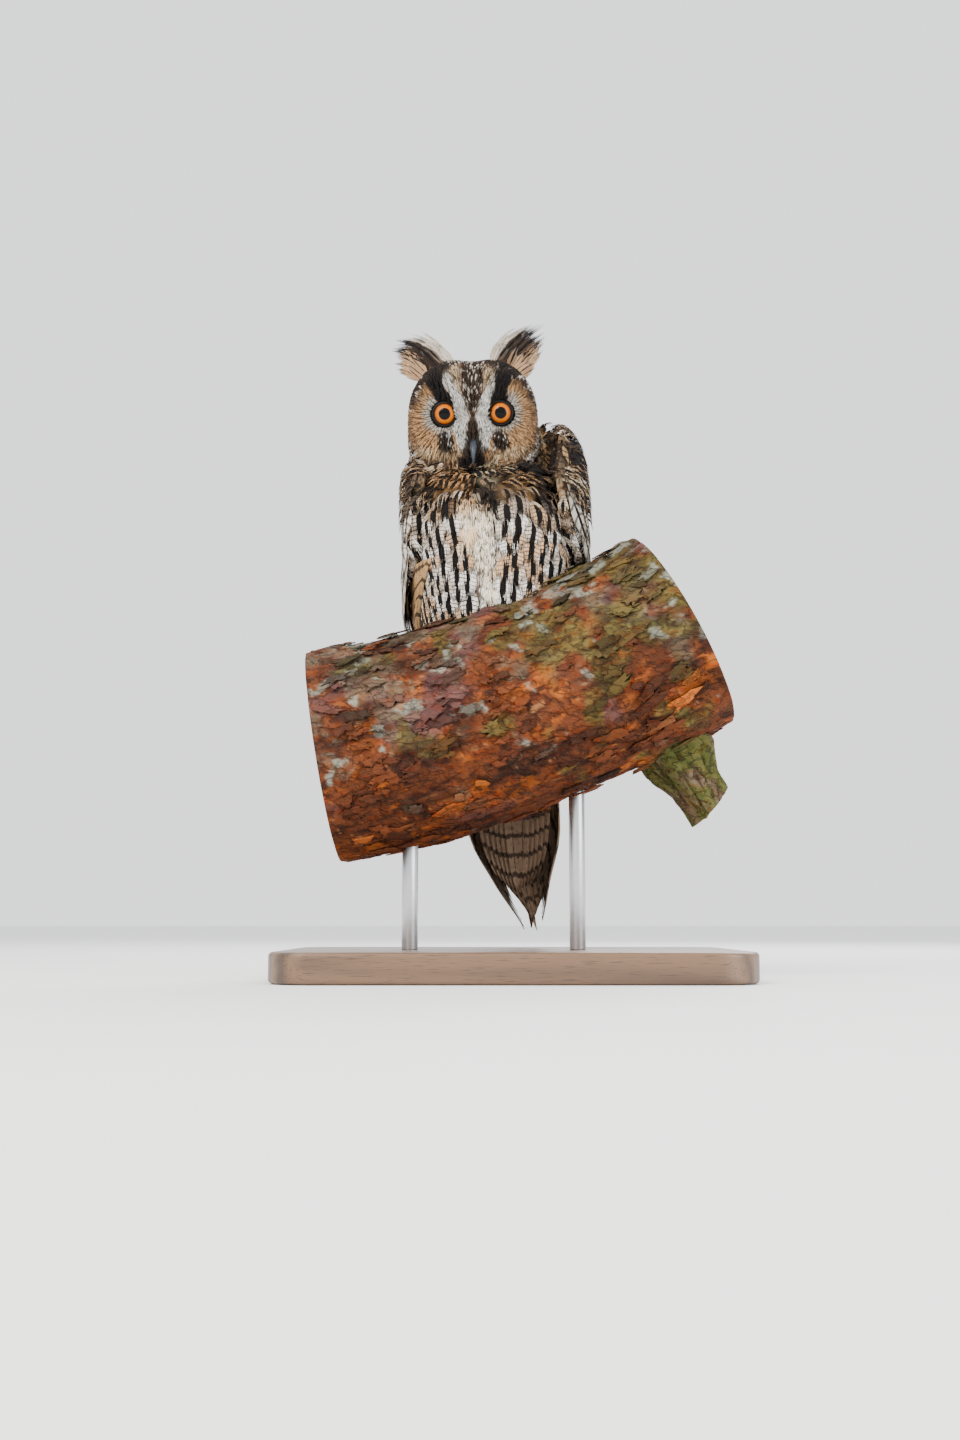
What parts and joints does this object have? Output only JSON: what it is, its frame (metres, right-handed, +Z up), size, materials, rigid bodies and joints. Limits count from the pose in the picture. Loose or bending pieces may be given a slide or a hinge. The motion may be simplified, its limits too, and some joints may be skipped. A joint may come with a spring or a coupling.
{
  "type": "long-eared owl on a perch",
  "caption": "Life-size long-eared owl, still model, upright on a short cut length of pine branch, with raised ear tufts and tail hanging behind, held on a plain display stand.",
  "frame": {"origin": "centre of the stand base's underside", "axes": "+Z up, the owl faces -Y, its own left wing towards +X"},
  "size_m": [0.284, 0.216, 0.4187],
  "materials": {
    "face_plumage": "soft matte feathers, rust-buff disc with grey-white brows",
    "breast_plumage": "soft matte feathers, buff and white with bold dark streaks",
    "wing_feathers": "matte feathers, grey-brown with dark bars and shaft streaks",
    "tail_feathers": "matte feathers, grey-buff with thin dark bars",
    "tuft_feathers": "matte feathers, black-brown centres with buff and white edges",
    "foot_plumage": "short matte buff down",
    "horn": "smooth blue-black horn, semi-gloss",
    "eye": "wet clear cornea over an orange iris",
    "pine_bark": "rough flaky orange-brown pine bark with lichen and moss",
    "mossy_bark": "rough grey bark under green moss",
    "stand_wood": "dark stained wood, satin",
    "stand_steel": "brushed, satin"
  },
  "bodies": {
    "root": {"head": "face_plumage", "neck": "breast_plumage", "torso": "breast_plumage", "bill_upper": "horn", "bill_lower": "horn", "eye_left": "eye", "eye_right": "eye", "ear_tuft_left": "tuft_feathers", "ear_tuft_right": "tuft_feathers", "wing_left_coverts": "wing_feathers", "wing_left_secondaries": "wing_feathers", "wing_left_primaries": "wing_feathers", "leg_left": "foot_plumage", "foot_left": "foot_plumage", "claw_left_inner": "horn", "claw_left_middle": "horn", "claw_left_outer": "horn", "claw_left_hind": "horn", "wing_right_coverts": "wing_feathers", "wing_right_secondaries": "wing_feathers", "wing_right_primaries": "wing_feathers", "leg_right": "foot_plumage", "foot_right": "foot_plumage", "claw_right_inner": "horn", "claw_right_middle": "horn", "claw_right_outer": "horn", "claw_right_hind": "horn", "tail": "tail_feathers", "perch": "pine_bark", "perch_stub": "mossy_bark", "stand_base": "stand_wood", "stand_rod_left": "stand_steel", "stand_rod_right": "stand_steel"}
  },
  "joints": []
}
